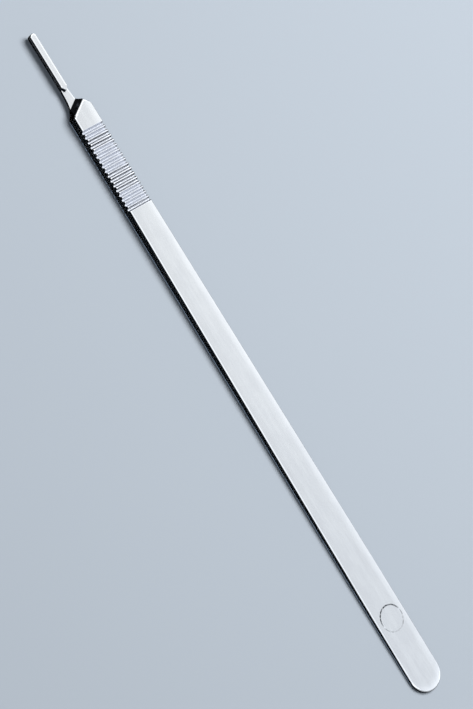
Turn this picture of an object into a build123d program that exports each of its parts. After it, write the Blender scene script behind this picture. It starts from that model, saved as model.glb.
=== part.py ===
from build123d import *
from math import cos, radians, sin, tan
import os

# A long scalpel handle in one piece of stainless steel, lying on its flat underside.
# The tongue that carries the blade points along -X and the rounded butt along +X.
# Heights are above the underside, and lengths along the handle are from the tip of the tongue.

# The whole handle
overall_length = 210.0
butt_width = 10.9
butt_thickness = 1.25
front_width = 7.3
front_thickness = 3.7
parallel_length = 41.4
edge_radius = 0.35

# The lug that holds the blade, with a slot for the blade's edges along each side
lug_width = 2.0
lug_length = 17.9
lug_heel = 1.1
lug_height = 0.95
lug_edge_radius = 0.15
blade_slot_height = 0.45
blade_slot_depth = 0.45

# The tongue, a thin strip beside the centre line whose upper face is the blade's seat
tongue_offset = -0.74
tongue_thickness = 0.85
seat_height = 2.05
seat_length = 5.17

# The slanted shoulder, where the grip steps down to the tongue in a cove on each face
shoulder_slant = 32.2
cove_reach = 1.46
cove_hollow = 0.2
cove_overrun = 0.05
underside_shoulder_setback = 0.3
underside_cove_reach = 2.0
underside_cove_hollow = 0.58
underside_cove_overrun = 0.8

# The outline's flare from the tongue out to the grip, on the far side and on the near side
far_flare_angle = 6.5
far_flare_run = 4.0
far_flare_radius = 1.2
far_corner_setback = 3.12
far_corner_radius = 0.8
near_flare_angle = 3.5
near_flare_run = 3.2
near_corner_setback = 0.3
near_corner_radius = 0.3

# The cross grooves of the grip, deep on the upper face and shallow on the underside
groove_count = 17
groove_pitch = 1.5
grooves_from_shoulder = 7.43
groove_depth = 1.02
groove_wall_angle = 22.0
underside_groove_depth = 0.4
underside_groove_wall_angle = 45.0
ridge_width = 0.33
ridge_lip_radius = 0.12

# The stamped ring near the butt
ring_from_butt = 22.9
ring_radius = 3.8
ring_line_width = 0.25
ring_depth = 0.1

# What the cutting solids stand clear of the handle
clear = 2.0

# Heights and places that follow from the sizes above
tip_x = -overall_length / 2
butt_x = overall_length / 2
butt_radius = butt_width / 2
butt_round_start = overall_length - butt_radius
flare_end = butt_round_start - parallel_length
heel_start = lug_length - lug_heel
lug_top = seat_height + lug_height
tongue_underside = seat_height - tongue_thickness
shoulder = lug_length + seat_length
top_slope = (front_thickness - butt_thickness) / (overall_length - shoulder)
cove_height = front_thickness - seat_height + cove_overrun
underside_cove_height = tongue_underside + underside_cove_overrun
slant_reach = tan(radians(shoulder_slant)) * front_width / 2
far_corner = shoulder - slant_reach + far_corner_setback
near_corner = shoulder + slant_reach + near_corner_setback
flare_slope = (butt_width - front_width) / 2 / (
    flare_end - far_corner + (butt_round_start - flare_end) / 2
)


def along(distance):
    """X of a place at this distance from the tip of the tongue."""
    return tip_x + distance


def top_height(distance):
    """Height of the sloping upper face at this distance from the tip."""
    return front_thickness - top_slope * (distance - shoulder)


def half_width(distance):
    """Half the width between the straight stretches of the two sides."""
    return front_width / 2 + flare_slope * (distance - far_corner)


def upper_plane(distance):
    """A plane on the upper face, its x axis along the handle and its z axis outwards."""
    slope = Vector(1, 0, -top_slope)
    outward = Vector(top_slope, 0, 1)
    return Plane(origin=(along(distance), 0, top_height(distance)), x_dir=slope, z_dir=outward)


def under_plane(distance):
    """A plane on the underside, its x axis along the handle and its z axis downwards."""
    return Plane(origin=(along(distance), 0, 0), x_dir=(1, 0, 0), z_dir=(0, 0, -1))


def flare_run(side, angle, run_length):
    """The straight start of the flare on one side, from the lug's heel."""
    rise = side * tan(radians(angle))
    heel = (along(heel_start), tongue_offset + side * lug_width / 2)
    run_end = (heel[0] + run_length, heel[1] + rise * run_length)
    return Line(heel, run_end)


def grip_side(side, start):
    """One side of the grip: a straight flare, then a long arc that ends parallel."""
    flare_point = (along(flare_end), side * half_width(flare_end))
    run = Line((along(start), side * half_width(start)), flare_point)
    butt_point = (along(butt_round_start), side * butt_radius)
    arc = TangentArc(flare_point, butt_point, tangent=(1, side * flare_slope))
    return run, arc


def nose():
    """The round nose at the tip, the same on the tongue and on the lug."""
    half = lug_width / 2
    return ThreePointArc(
        (along(half), tongue_offset - half),
        (tip_x, tongue_offset),
        (along(half), tongue_offset + half),
    )


def plan_outline():
    """The handle seen from above, as one face."""
    far_point = (along(far_corner), half_width(far_corner))
    near_point = (along(near_corner), -half_width(near_corner))
    far_run = flare_run(1, far_flare_angle, far_flare_run)
    near_run = flare_run(-1, near_flare_angle, near_flare_run)
    curves = Curve() + nose() + far_run + near_run
    curves += Line(far_run @ 1, far_point)
    curves += TangentArc(near_run @ 1, near_point, tangent=near_run % 1)
    for side, corner in ((1, far_corner), (-1, near_corner)):
        y = tongue_offset + side * lug_width / 2
        curves += Line((along(lug_width / 2), y), (along(heel_start), y))
        for curve in grip_side(side, corner):
            curves += curve
    curves += ThreePointArc(
        (along(butt_round_start), -butt_radius),
        (butt_x, 0),
        (along(butt_round_start), butt_radius),
    )
    outline = make_face(curves)
    rounded = (
        (far_run @ 1, far_flare_radius),
        (far_point, far_corner_radius),
        (near_point, near_corner_radius),
    )
    for point, radius in rounded:
        outline = fillet(outline.vertices().sort_by_distance(point)[0], radius)
    return outline


def side_profile():
    """The handle's long side, flat below and sloping above, as one face."""
    front = -clear
    back = overall_length + clear
    return make_face(
        Polyline(
            (along(front), 0, 0),
            (along(back), 0, 0),
            (along(back), 0, top_height(back)),
            (along(front), 0, top_height(front)),
            close=True,
        )
    )


def shoulder_cutter(setback, seat, reach, height, hollow, up):
    """What is milled away in front of the shoulder on one face, down to the seat.

    The cutter runs along the slanted shoulder and leaves a cove that rises from the seat, with
    this reach, height and hollow. It is above the seat where up is 1, and below it where up is -1.
    """
    slant = radians(shoulder_slant)
    front = overall_length / 2
    outside = front_thickness + clear
    across = Plane(
        origin=(along(shoulder + setback), 0, seat),
        x_dir=(-cos(slant), -sin(slant), 0),
        z_dir=(-sin(slant), cos(slant), 0),
    )
    cove = SagittaArc((0, up * height), (reach, 0), -up * hollow)
    section = make_face(
        Curve()
        + cove
        + Polyline((reach, 0), (front, 0), (front, up * outside), (0, up * outside), (0, up * height))
    )
    return extrude(across * section, amount=front / 2, both=True)


def grip_blank():
    """The flat bar with its outline, its taper, its shoulders and its rounded edges."""
    bar = extrude(plan_outline(), amount=top_height(-clear) + clear)
    bar = bar & extrude(side_profile(), amount=butt_width, both=True)
    bar = bar - shoulder_cutter(0, seat_height, cove_reach, cove_height, cove_hollow, 1)
    bar = bar - shoulder_cutter(
        underside_shoulder_setback,
        tongue_underside,
        underside_cove_reach,
        underside_cove_height,
        underside_cove_hollow,
        -1,
    )
    upper = bar.faces().filter_by(GeomType.PLANE).sort_by(Axis.Z)[-1]
    under = bar.faces().filter_by(GeomType.PLANE).sort_by(Axis.Z)[0]
    return fillet(upper.edges() + under.edges(), edge_radius)


def groove_section(depth, wall_angle):
    """A groove with a round bottom, sloping walls and rounded lips, seen along the groove."""
    slant = radians(wall_angle)
    mouth_x = (groove_pitch - ridge_width) / 2
    bottom_radius = (mouth_x - depth * tan(slant)) / (1 / cos(slant) - tan(slant))
    wall_x = bottom_radius * cos(slant)
    wall_depth = depth - bottom_radius * (1 - sin(slant))
    outer_x = groove_pitch / 2
    walls = Curve() + ThreePointArc((-wall_x, -wall_depth), (0, -depth), (wall_x, -wall_depth))
    for side in (1, -1):
        walls += Polyline(
            (side * wall_x, -wall_depth),
            (side * mouth_x, 0),
            (side * outer_x, 0),
            (side * outer_x, clear),
        )
    walls += Line((-outer_x, clear), (outer_x, clear))
    section = make_face(walls)
    lips = [section.vertices().sort_by_distance((side * mouth_x, 0))[0] for side in (1, -1)]
    return fillet(lips, ridge_lip_radius)


def grooves():
    """The cutters of every groove on both faces."""
    upper = groove_section(groove_depth, groove_wall_angle)
    under = groove_section(underside_groove_depth, underside_groove_wall_angle)
    cutters = []
    for index in range(groove_count):
        distance = shoulder + grooves_from_shoulder + index * groove_pitch
        for face, section in ((upper_plane(distance), upper), (under_plane(distance), under)):
            across = Plane(origin=face.origin, x_dir=face.x_dir, z_dir=-face.y_dir)
            cutters.append(extrude(across * section, amount=butt_width, both=True))
    return cutters


def lug():
    """The raised lug on the seat, with a round nose, a pointed heel and a slot on each side."""
    half = lug_width / 2
    sides = Polyline(
        (along(half), tongue_offset + half),
        (along(heel_start), tongue_offset + half),
        (along(lug_length), tongue_offset),
        (along(heel_start), tongue_offset - half),
        (along(half), tongue_offset - half),
    )
    outline = make_face(Curve() + nose() + sides)
    block = extrude(Pos(0, 0, tongue_underside) * outline, amount=lug_top - tongue_underside)
    block = fillet(block.faces().sort_by(Axis.Z)[-1].edges(), lug_edge_radius)
    low_corner = (Align.MIN, Align.CENTER, Align.MIN)
    slot = Box(heel_start + clear, lug_width, blade_slot_height, align=low_corner)
    for side in (1, -1):
        slot_y = tongue_offset + side * (lug_width - blade_slot_depth)
        block = block - Pos(along(-clear), slot_y, seat_height) * slot
    return block


def ring_mark():
    """The shallow stamped ring, as the ring of metal that is pressed out of the upper face."""
    distance = overall_length - ring_from_butt
    outer = Circle(ring_radius + ring_line_width / 2)
    inner = Circle(ring_radius - ring_line_width / 2)
    band = upper_plane(distance) * (outer - inner)
    return extrude(band, amount=ring_depth, both=True)


def scalpel_handle():
    """The finished handle, one solid."""
    handle = grip_blank()
    handle = handle - grooves()
    handle = handle - ring_mark()
    handle = handle + lug()
    return handle


os.makedirs("parts", exist_ok=True)
finished = scalpel_handle()
finished.label = "scalpel_handle"
export_step(finished, "parts/scalpel_handle.step")
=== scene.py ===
from math import cos, radians, sin, tan
import bpy
from mathutils import Matrix, Vector


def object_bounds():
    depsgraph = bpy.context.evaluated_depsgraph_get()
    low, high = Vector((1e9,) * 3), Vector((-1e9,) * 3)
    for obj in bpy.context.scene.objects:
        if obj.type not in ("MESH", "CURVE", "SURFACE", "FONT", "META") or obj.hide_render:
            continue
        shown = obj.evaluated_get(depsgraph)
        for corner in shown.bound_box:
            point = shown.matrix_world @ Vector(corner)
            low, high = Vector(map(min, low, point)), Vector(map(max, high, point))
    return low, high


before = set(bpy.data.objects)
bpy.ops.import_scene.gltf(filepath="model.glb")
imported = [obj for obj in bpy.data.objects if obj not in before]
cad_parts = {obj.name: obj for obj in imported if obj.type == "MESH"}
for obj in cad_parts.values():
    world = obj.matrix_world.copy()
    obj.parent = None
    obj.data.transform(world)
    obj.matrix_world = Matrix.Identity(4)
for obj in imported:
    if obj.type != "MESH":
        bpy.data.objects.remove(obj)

cad_low, cad_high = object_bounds()

MM = 0.001

# The sizes below are in millimetres. Lengths along the handle are X in the frame, and heights are Z.
tip_x = cad_low[0] / MM
butt_x = cad_high[0] / MM

# The grip's outline: a half circle at the butt, a long arc that runs parallel into it, and a
# straight flare in front of the arc
butt_radius = cad_high[1] / MM
butt_round_start = butt_x - butt_radius
arc_length = 41.4
flare_slope = 0.0113

# The shoulder, and the upper face that slopes down from it to the butt
shoulder_x = tip_x + 23.07
shoulder_slant = radians(32.2)
shoulder_height = 3.7
butt_thickness = 1.25
top_slope = (shoulder_height - butt_thickness) / (butt_x - shoulder_x)

# The lug on its seat, with a slot along each side and a pointed heel
lug_y = -0.74
lug_radius = 1.0
heel_start = tip_x + 16.8
heel_end = tip_x + 17.9
heel_slant = (heel_end - heel_start) / lug_radius
seat_height = 2.05
slot_top = 2.5
lug_top = 3.0

# The flare of the seat out to the shoulder, which bends outwards on the near side
far_flare = tan(radians(6.5))
near_flare = tan(radians(3.5))
near_bend_start = heel_start + 3.2
near_bend_radius = 12.8

# The cross grooves
groove_count = 17
groove_pitch = 1.5
first_groove_x = shoulder_x + 7.43
groove_depth = 1.02
ridge_width = 0.33

# The stamped ring near the butt
ring_x = butt_x - 22.9
ring_radius = 3.8

# The surface rolls down to its edges where it was buffed. Each roll has the distance inwards at
# which it begins, and its slope at the edge.
face_roll = (2.8, 0.074)
shoulder_roll = (1.1, 0.32)
seat_roll = (0.4, 0.3)
lug_roll = (0.7, 0.3)
ridge_roll = (ridge_width / 2, 0.12)
foot_roll = (0.55, 0.3)

# Towards each end a groove rises a little and then rolls down, less so at its far end
groove_end_roll = (0.6, 0.6)
groove_end_rise = groove_end_roll[0] * groove_end_roll[1] / 2
groove_rise_start = 3.2
far_end_share = 0.2

# Where the painted shade on the groove walls is darkest: the middle of each stretch and half its length.
# The ends of each fade over stretch_fade to either side.
dark_wall_stretches = (
    (first_groove_x + 3.8, 1.6),
    (first_groove_x + 15.8, 2.9),
    (first_groove_x + 24.3, 0.8),
)
stretch_fade = 0.5

# How dark the painted shade is, from nothing to one, on groove walls outside those stretches, in the cove
# and in the slots
least_wall_shade = 0.26
cove_shade_strength = 0.98
slot_shade_strength = 0.9

# The height of the brushing, the roughness of the plain steel, and what the brushing, the streaks
# and the matt places add to that roughness
brushing_height = 0.0012
plain_roughness = 0.15
brushing_roughness = 0.06
streak_roughness = 0.05
matt_roughness = 0.4

# Cells of noise to a millimetre along X, Y and Z. The first three are drawn out lengthwise.
brushing_cells = (0.25, 9.0, 9.0)
streak_cells = (0.07, 1.1, 1.1)
cloud_cells = (0.16, 0.3, 0.3)
wall_patch_cells = (0.7, 0.9, 0.7)
ring_bead_cells = (1.3, 1.3, 1.3)
ring_patch_cells = (0.5, 0.5, 0.5)

# The steel's colours. The face is mottled between the first two.
face_dark = (0.72, 0.73, 0.745, 1)
face_light = (0.76, 0.77, 0.78, 1)
groove_colour = (0.77, 0.785, 0.83, 1)
# A painted highlight on the ridges and groove floors
painted_highlight_colour = (0.94, 0.95, 0.985, 1)
# Painted shade in the recesses, also the colour of the ring's dark line
painted_dark_colour = (0.02, 0.024, 0.032, 1)

# Directions that the studio's reflections are set out by, from the handle outwards
dark_end = Vector((-0.93, -0.12, 0.22)).normalized()
straight_down = Vector((0.0, 0.0, -1.0))


class Graph:
    """Adds nodes to one node tree, with each input either linked or set."""

    def __init__(self, tree):
        self.tree = tree
        tree.nodes.clear()

    def node(self, kind, inputs=None, **settings):
        made = self.tree.nodes.new(kind)
        for name, value in settings.items():
            setattr(made, name, value)
        for name, value in (inputs or {}).items():
            if isinstance(value, bpy.types.NodeSocket):
                self.tree.links.new(value, made.inputs[name])
            else:
                made.inputs[name].default_value = value
        return made

    def math(self, operation, result, *others):
        """A chain of one operation, in which each further value joins the result so far."""
        for other in others:
            result = self.node("ShaderNodeMath", {0: result, 1: other}, operation=operation).outputs[0]
        return result

    def math_of_one(self, operation, value):
        """An operation that takes a single value."""
        return self.node("ShaderNodeMath", {0: value}, operation=operation).outputs[0]

    def plus(self, *values):
        return self.math("ADD", *values)

    def minus(self, *values):
        return self.math("SUBTRACT", *values)

    def times(self, *values):
        return self.math("MULTIPLY", *values)

    def largest(self, *values):
        return self.math("MAXIMUM", *values)

    def unsigned(self, value):
        """The value without its sign."""
        return self.math_of_one("ABSOLUTE", value)

    def dot(self, vector, direction):
        made = self.node("ShaderNodeVectorMath", {0: vector, 1: direction}, operation="DOT_PRODUCT")
        return made.outputs["Value"]

    def smooth(self, value, start, end, low=0.0, high=1.0):
        """A soft step from low at start to high at end."""
        made = self.node(
            "ShaderNodeMapRange",
            {"Value": value, "From Min": start, "From Max": end, "To Min": low, "To Max": high},
            interpolation_type="SMOOTHSTEP",
        )
        return made.outputs["Result"]

    def within(self, value, low, high, soft):
        """One between low and high, with soft ends, and nothing outside them."""
        rising = self.smooth(value, low - soft, low + soft)
        falling = self.smooth(value, high + soft, high - soft)
        return self.times(rising, falling)

    def reach(self, first, second):
        """The length of a vector from its two parts."""
        return self.math_of_one("SQRT", self.plus(self.times(first, first), self.times(second, second)))

    def noise(self, vector, cells, detail=2.0):
        """Noise from 0 to 1, with this many cells to each unit of the vector along X, Y and Z."""
        scaled = self.node("ShaderNodeVectorMath", {0: vector, 1: cells}, operation="MULTIPLY")
        made = self.node(
            "ShaderNodeTexNoise",
            {"Vector": scaled.outputs[0], "Scale": 1.0, "Detail": detail, "Roughness": 0.55},
        )
        return made.outputs["Fac"]

    def blend(self, factor, first, second):
        """The first colour where the factor is nothing, and the second where it is one."""
        made = self.node("ShaderNodeMix", {0: factor, 6: first, 7: second}, data_type="RGBA")
        return made.outputs[2]

    def roll(self, inwards, shape):
        """How far a buffed surface has dropped, at a distance inwards from its edge."""
        width, slope = shape
        made = self.node(
            "ShaderNodeMapRange",
            {"Value": inwards, "From Min": 0.0, "From Max": width, "To Min": 1.0, "To Max": 0.0},
        )
        near_edge = made.outputs["Result"]
        return self.times(near_edge, near_edge, -slope * width / 2)


class Spot:
    """Where a point of the steel lies on the handle, as node outputs. Distances are in millimetres."""

    def __init__(self, graph):
        millimetres = graph.node(
            "ShaderNodeVectorMath",
            {0: graph.node("ShaderNodeTexCoord").outputs["Object"], "Scale": 1 / MM},
            operation="SCALE",
        )
        self.place = millimetres.outputs[0]
        axes = graph.node("ShaderNodeSeparateXYZ", {"Vector": self.place}).outputs
        self.x = axes["X"]
        self.y = axes["Y"]
        self.z = axes["Z"]
        self.inwards = self.outline_distance(graph)
        self.behind_shoulder = self.shoulder_distance(graph)
        top = graph.minus(shoulder_height, graph.times(graph.minus(self.x, shoulder_x), top_slope))
        self.below_top = graph.minus(top, self.z)

        along_grooves = graph.minus(self.x, first_groove_x)
        count = graph.math_of_one("ROUND", graph.math("DIVIDE", along_grooves, groove_pitch))
        self.off_groove = graph.minus(along_grooves, graph.times(count, groove_pitch))
        last_groove = (groove_count - 1) * groove_pitch
        half_pitch = groove_pitch / 2
        self.in_grooves = graph.within(along_grooves, -half_pitch, last_groove + half_pitch, 0.02)

    def outline_distance(self, graph):
        """Distance inwards from the outline of the grip."""
        before = graph.largest(graph.minus(butt_round_start, self.x), 0.0)
        on_arc = graph.math("MINIMUM", before, arc_length)
        bend = graph.times(on_arc, on_arc, flare_slope / 2 / arc_length)
        taper = graph.times(graph.minus(before, on_arc), flare_slope)
        half_width = graph.minus(butt_radius, bend, taper)
        beyond = graph.largest(graph.minus(self.x, butt_round_start), 0.0)
        return graph.minus(half_width, graph.reach(beyond, self.y))

    def shoulder_distance(self, graph):
        """Distance behind the top edge of the slanted shoulder, negative in front of it."""
        along = graph.times(graph.minus(self.x, shoulder_x), cos(shoulder_slant))
        return graph.plus(along, graph.times(self.y, sin(shoulder_slant)))

    def lug_distance(self, graph):
        """Distance inwards from the outline of the lug, which has a round nose."""
        nose = graph.largest(graph.minus(tip_x + lug_radius, self.x), 0.0)
        return graph.minus(lug_radius, graph.reach(nose, graph.minus(self.y, lug_y)))

    def seat_distance(self, graph):
        """Distance inwards from the nearer side of the flaring seat."""
        run = graph.minus(self.x, heel_start)
        past_bend = graph.largest(graph.minus(self.x, near_bend_start), 0.0)
        bend = graph.times(past_bend, past_bend, 0.5 / near_bend_radius)
        off_centre = graph.minus(self.y, lug_y)
        from_near = graph.plus(off_centre, lug_radius, graph.times(run, near_flare), bend)
        from_far = graph.minus(graph.plus(graph.times(run, far_flare), lug_radius), off_centre)
        return graph.math("MINIMUM", from_near, from_far)


def make_camera():
    """The camera at the photograph's viewing angle, rolled so that the handle runs down to the right."""
    target = Vector((-1.7, 3.17, 0.0)) * MM
    distance = 578 * MM
    azimuth, elevation, roll = radians(-2.58), radians(55.2), radians(60.45)
    back = Vector((sin(azimuth) * cos(elevation), -cos(azimuth) * cos(elevation), sin(elevation)))
    level = (-back).cross(Vector((0, 0, 1))).normalized()
    rise = level.cross(-back)
    right = level * cos(roll) + rise * sin(roll)
    up = rise * cos(roll) - level * sin(roll)
    data = bpy.data.cameras.new("camera")
    data.sensor_width = 36
    data.lens = 106.9
    data.clip_start = 0.01
    data.clip_end = 10
    camera = bpy.data.objects.new("camera", data)
    turned = Matrix((right, up, back)).transposed().to_4x4()
    camera.matrix_world = Matrix.Translation(target + back * distance) @ turned
    bpy.context.scene.collection.objects.link(camera)
    bpy.context.scene.camera = camera


def make_floor():
    """A plain pale floor. Gloss doesn't mirror it, so the handle's sides take the studio's dark edge."""
    half = 1.5
    corners = [(-half, -half, 0), (half, -half, 0), (half, half, 0), (-half, half, 0)]
    mesh = bpy.data.meshes.new("floor")
    mesh.from_pydata(corners, [], [(0, 1, 2, 3)])
    floor = bpy.data.objects.new("floor", mesh)
    bpy.context.scene.collection.objects.link(floor)
    material = bpy.data.materials.new("floor_paper")
    material.use_nodes = True
    shader = material.node_tree.nodes["Principled BSDF"]
    shader.inputs["Base Color"].default_value = (0.45, 0.505, 0.575, 1)
    shader.inputs["Roughness"].default_value = 0.9
    shader.inputs["Specular IOR Level"].default_value = 0.1
    mesh.materials.append(material)
    floor.visible_glossy = False


def make_key():
    """One large soft light beyond the far side, which throws the soft shadow on the near side."""
    place = Vector((-0.09, 0.39, 0.86))
    data = bpy.data.lights.new("key", "AREA")
    data.shape = "DISK"
    data.size = 0.7
    data.energy = 11.2
    data.color = (1.0, 0.99, 0.97)
    light = bpy.data.objects.new("key", data)
    light.location = place
    light.rotation_mode = "QUATERNION"
    light.rotation_quaternion = (-place).to_track_quat("-Z", "Y")
    light.visible_glossy = False
    light.visible_camera = False
    bpy.context.scene.collection.objects.link(light)


def tent_level(graph, direction, axes):
    """How bright the tent is in each direction."""
    sideways = graph.unsigned(axes["X"])
    across = graph.unsigned(axes["Y"])
    off_dark_end = graph.dot(direction, dark_end)
    return graph.times(
        # Dark below the horizon, and dimmer just above it
        graph.smooth(axes["Z"], sin(radians(-26)), sin(radians(-4))),
        graph.smooth(axes["Z"], 0.0, 0.4, 0.7, 1.0),
        # Brighter overhead and on the near side, and low on the far side
        graph.smooth(axes["Y"], 0.4, 0.1, 1.0, 1.5),
        graph.smooth(axes["Y"], 0.57, 0.67, 1.0, 1.42),
        # Dimmer towards the butt
        graph.smooth(axes["X"], 0.05, 0.2, 0.96, 0.81),
        # A bright band towards the tip and one towards the butt, and dimmer beyond them
        graph.smooth(sideways, 0.25, 0.4, 1.0, 2.0),
        graph.smooth(sideways, 0.48, 0.66, 1.0, 0.3),
        # Dark low in front of the tip
        graph.smooth(off_dark_end, cos(radians(62)), cos(radians(32)), 1.0, 0.26),
        # Dimmer straight overhead, in a band along the handle
        graph.smooth(across, 0.2, 0.08, 1.0, 0.68),
    )


def make_studio():
    """A soft white tent that the steel mirrors, and a faint even light for everything else."""
    world = bpy.data.worlds.new("studio")
    world.use_nodes = True
    bpy.context.scene.world = world
    world.cycles.sampling_method = "NONE"
    graph = Graph(world.node_tree)
    direction = graph.node("ShaderNodeTexCoord").outputs["Generated"]
    axes = graph.node("ShaderNodeSeparateXYZ", {"Vector": direction}).outputs
    level = tent_level(graph, direction, axes)
    off_straight_down = graph.dot(direction, straight_down)
    glow = graph.smooth(off_straight_down, cos(radians(24)), cos(radians(6)), 0.0, 0.6)
    towards_butt = graph.smooth(axes["X"], -0.1, 0.25)
    colour = graph.blend(towards_butt, (0.97, 1.0, 1.025, 1), (0.95, 1.0, 1.065, 1))
    below = graph.smooth(axes["Z"], -0.3, -0.6)
    colour = graph.blend(below, colour, (0.7, 0.95, 1.3, 1))
    mirrored = graph.node("ShaderNodeBackground", {"Color": colour, "Strength": graph.plus(level, glow)})
    even = graph.node("ShaderNodeBackground", {"Color": (0.9, 0.95, 1.0, 1), "Strength": 0.17})
    path = graph.node("ShaderNodeLightPath").outputs
    by_gloss_alone = graph.times(path["Is Glossy Ray"], graph.smooth(path["Diffuse Depth"], 1.0, 0.0))
    mixed = graph.node(
        "ShaderNodeMixShader",
        {"Fac": by_gloss_alone, 1: even.outputs[0], 2: mirrored.outputs[0]},
    )
    graph.node("ShaderNodeOutputWorld", {"Surface": mixed.outputs[0]})


def buffed_height(graph, spot, brushing):
    """The height of the surface's finish: its brushing, and the rolls down to its edges."""
    on_lug = graph.smooth(spot.x, heel_start, heel_start - 0.6)
    on_seat = graph.times(
        graph.smooth(spot.x, heel_start, heel_start + 0.2),
        graph.smooth(spot.z, seat_height + 0.1, seat_height + 0.03),
        graph.smooth(spot.behind_shoulder, -1.3, -1.5),
    )
    inside_groove = graph.times(spot.in_grooves, graph.smooth(spot.below_top, 0.3, 0.6))
    groove_end = graph.plus(
        graph.roll(spot.inwards, groove_end_roll),
        graph.smooth(spot.inwards, groove_rise_start, groove_end_roll[0], 0.0, groove_end_rise),
    )
    end_share = graph.smooth(spot.y, -1.0, 1.0, 1.0, far_end_share)
    ridge_inwards = graph.minus(graph.unsigned(spot.off_groove), (groove_pitch - ridge_width) / 2)
    return graph.plus(
        graph.times(brushing, brushing_height),
        graph.roll(spot.inwards, face_roll),
        graph.roll(spot.behind_shoulder, shoulder_roll),
        graph.times(graph.roll(spot.lug_distance(graph), lug_roll), on_lug),
        graph.times(graph.roll(spot.seat_distance(graph), seat_roll), on_seat),
        graph.times(groove_end, inside_groove, end_share),
        graph.times(graph.roll(ridge_inwards, ridge_roll), spot.in_grooves),
        graph.roll(spot.z, foot_roll),
    )


def ring_mask(graph, spot):
    """How dark the stamped ring's line is: beaded, broken and fainter towards the butt."""
    off_ring = graph.minus(graph.reach(graph.minus(spot.x, ring_x), spot.y), ring_radius)
    on_ring = graph.smooth(graph.unsigned(off_ring), 0.26, 0.12)
    # Darker on the tip side of the ring, fading towards the butt
    darker_to_tip = graph.smooth(graph.minus(ring_x, spot.x), -1.0, 2.0, 0.3, 1.0)
    beaded = graph.smooth(graph.noise(spot.place, ring_bead_cells), 0.38, 0.52, 0.2, 1.0)
    broken = graph.smooth(graph.noise(spot.place, ring_patch_cells), 0.4, 0.52, 0.35, 1.0)
    return graph.times(on_ring, darker_to_tip, beaded, broken)


def wall_shade_mask(graph, spot):
    """How dark the painted shade on the groove walls is: one along the stretches, and a little elsewhere.
    """
    stretches = []
    for middle, half_length in dark_wall_stretches:
        away = graph.unsigned(graph.minus(spot.x, middle))
        stretches.append(graph.smooth(away, half_length + stretch_fade, half_length - stretch_fade))
    return graph.largest(*stretches, least_wall_shade)


def cove_shade_mask(graph, spot):
    """How dark the painted shade is in the cove, which runs up from the seat to the shoulder."""
    return graph.times(
        graph.smooth(spot.behind_shoulder, 0.1, 0.0),
        graph.smooth(spot.z, seat_height + 0.01, seat_height + 0.08),
        graph.smooth(spot.x, heel_end + 0.1, heel_end + 0.3),
        cove_shade_strength,
    )


def slot_shade_mask(graph, spot):
    """How dark the painted shade is in the slots along the sides of the lug."""
    return graph.times(
        graph.within(spot.z, seat_height - 0.05, slot_top, 0.02),
        graph.smooth(spot.x, heel_start + 0.1, heel_start),
        slot_shade_strength,
    )


def heel_shadow_mask(graph, spot):
    """Painted shadow: one on the near half of the lug's heel and on a strip of the seat behind it."""
    near_side = graph.minus(lug_y, spot.y)
    past_heel = graph.plus(graph.minus(spot.x, heel_end), graph.times(near_side, heel_slant))
    return graph.times(
        graph.within(spot.z, seat_height - 0.1, lug_top - 0.1, 0.03),
        graph.within(spot.x, heel_start, heel_end + 0.25, 0.02),
        graph.smooth(past_heel, 0.5, 0.4),
        graph.smooth(near_side, -0.1, 0.1),
    )


def wall_end_mask(graph, spot):
    """One at the far ends of the grooves, which are matt and so mirror no sharp dark edge.

    It takes in the outer side beside them too, below the upper face.
    """
    return graph.times(
        spot.in_grooves,
        graph.smooth(spot.below_top, 0.05, 0.2),
        graph.smooth(spot.inwards, 0.9, 0.4),
        graph.smooth(spot.y, 0.0, 1.0),
    )


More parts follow.
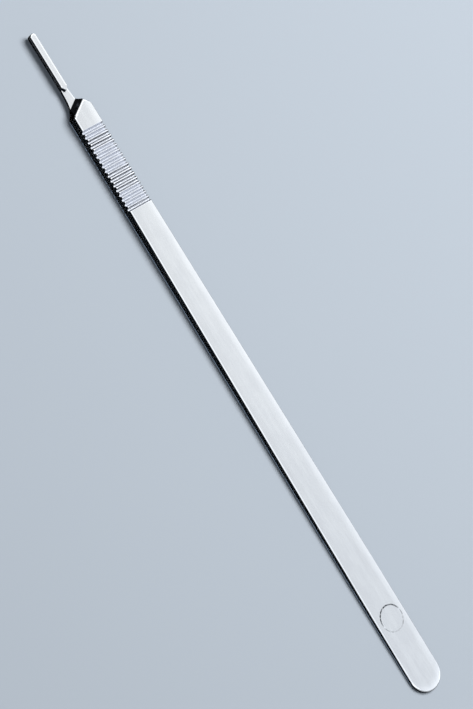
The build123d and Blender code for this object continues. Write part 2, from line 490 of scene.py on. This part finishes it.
def steel():
    """Satin stainless steel, brushed lengthwise and buffed round at its edges, with shade painted dark
    into its recesses and a highlight painted on its ridges.
    """
    material = bpy.data.materials.new("stainless_steel")
    material.use_nodes = True
    graph = Graph(material.node_tree)
    spot = Spot(graph)

    brushing = graph.noise(spot.place, brushing_cells, detail=3.0)
    streaks = graph.noise(spot.place, streak_cells)
    cloud = graph.noise(spot.place, cloud_cells, detail=3.0)
    height = buffed_height(graph, spot, brushing)
    bump = graph.node("ShaderNodeBump", {"Height": height, "Distance": MM, "Strength": 1.0})

    # Shade is painted dark onto the walls of the grooves, the more so where they face the tip, in broken
    # patches. A highlight is painted onto the ridges and the floors between darkened walls. The outer
    # sides have neither.
    on_wall = graph.within(spot.below_top, 0.18, groove_depth - 0.16, 0.05)
    facing_tip = graph.smooth(spot.off_groove, -0.1, 0.1, 0.8, 1.0)
    off_sides = graph.times(spot.in_grooves, graph.smooth(spot.inwards, 0.02, 0.08))
    wall_shade_level = wall_shade_mask(graph, spot)
    broken = graph.smooth(graph.noise(spot.place, wall_patch_cells), 0.32, 0.5, 0.8, 1.0)
    painted_wall_shade = graph.times(on_wall, facing_tip, off_sides, wall_shade_level, broken)
    off_wall = graph.smooth(on_wall, 1.0, 0.0)
    painted_highlight = graph.times(off_sides, off_wall, graph.smooth(wall_shade_level, 0.3, 1.0))

    # Painted shade in the cove
    cove_shade = cove_shade_mask(graph, spot)
    # Painted shade in the slots
    slot_shade = slot_shade_mask(graph, spot)
    # Painted shadow behind the heel
    heel_shadow = heel_shadow_mask(graph, spot)
    # Painted shade on the groove walls, in the cove and slots and behind the heel, and the ring's dark
    # line
    painted_darkness = graph.largest(painted_wall_shade, cove_shade, slot_shade, heel_shadow, ring_mask(graph, spot))
    matt = graph.largest(slot_shade, heel_shadow, wall_end_mask(graph, spot))

    mottling = graph.smooth(graph.plus(graph.times(cloud, 0.6), graph.times(streaks, 0.4)), 0.35, 0.65)
    colour = graph.blend(mottling, face_dark, face_light)
    colour = graph.blend(off_sides, colour, groove_colour)
    # Painted highlight on the ridges and groove floors
    colour = graph.blend(painted_highlight, colour, painted_highlight_colour)
    # Painted shade, and the ring's dark line
    colour = graph.blend(painted_darkness, colour, painted_dark_colour)
    roughness = graph.plus(
        graph.times(brushing, brushing_roughness),
        graph.times(streaks, streak_roughness),
        graph.times(matt, matt_roughness),
        plain_roughness,
    )
    shader = graph.node(
        "ShaderNodeBsdfPrincipled",
        {"Base Color": colour, "Roughness": roughness, "Metallic": 1.0, "Normal": bump.outputs["Normal"]},
    )
    graph.node("ShaderNodeOutputMaterial", {"Surface": shader.outputs[0]})
    return material


make_camera()
make_floor()
make_key()
make_studio()
bpy.context.scene.view_settings.view_transform = "Standard"
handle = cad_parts["scalpel_handle"]
handle.data.materials.clear()
handle.data.materials.append(steel())
